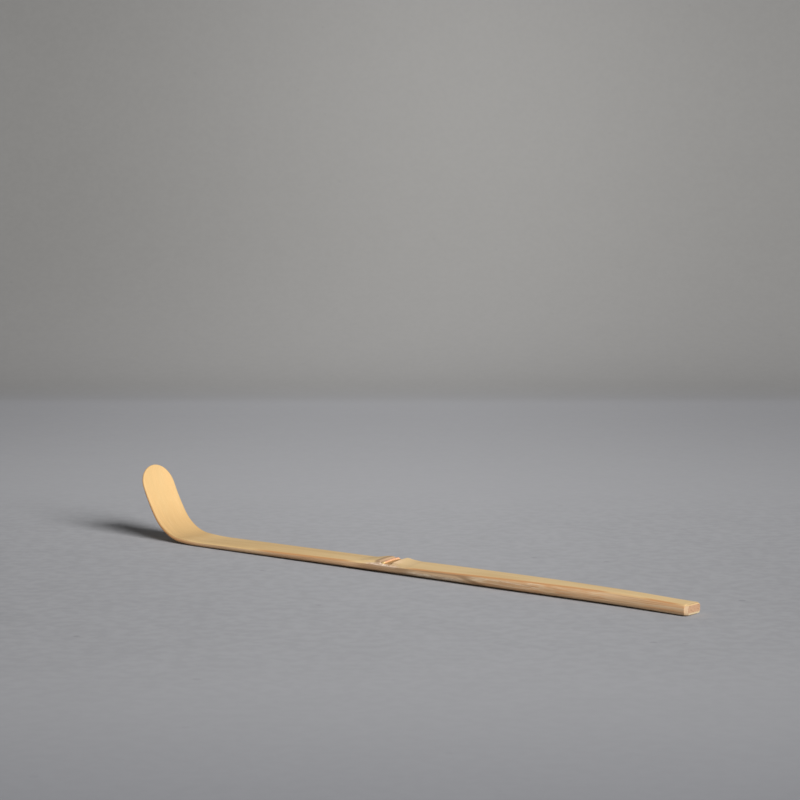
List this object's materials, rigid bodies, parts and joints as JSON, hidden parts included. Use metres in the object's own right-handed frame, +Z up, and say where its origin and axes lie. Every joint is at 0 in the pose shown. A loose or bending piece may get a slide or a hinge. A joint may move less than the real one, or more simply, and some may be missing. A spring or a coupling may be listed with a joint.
{
  "type": "chashaku tea scoop",
  "caption": "Slim bamboo scoop for matcha powder: a carved strip with a natural node, bent up at one end into a small round-tipped bowl.",
  "frame": {"origin": "on the surface that the scoop lies on, under the middle of its overall length and width", "axes": "+X along the strip from the bowl to the handle end, +Y across the strip, +Z up, skin side on top"},
  "size_m": [0.1718, 0.0112, 0.0193],
  "materials": {
    "bamboo_skin": "satin",
    "bamboo_core": "matte",
    "bamboo_node_core": "matte",
    "bamboo_node_skin": "satin",
    "bamboo_scar": "matte"
  },
  "bodies": {
    "root": {"bowl_shaft_core": "bamboo_core", "bowl_shaft_skin": "bamboo_skin", "node_core": "bamboo_node_core", "sheath_scar": "bamboo_scar", "node_valley_skin": "bamboo_node_skin", "nodal_ridge": "bamboo_node_skin", "handle_core": "bamboo_core", "handle_skin": "bamboo_skin"}
  },
  "joints": []
}
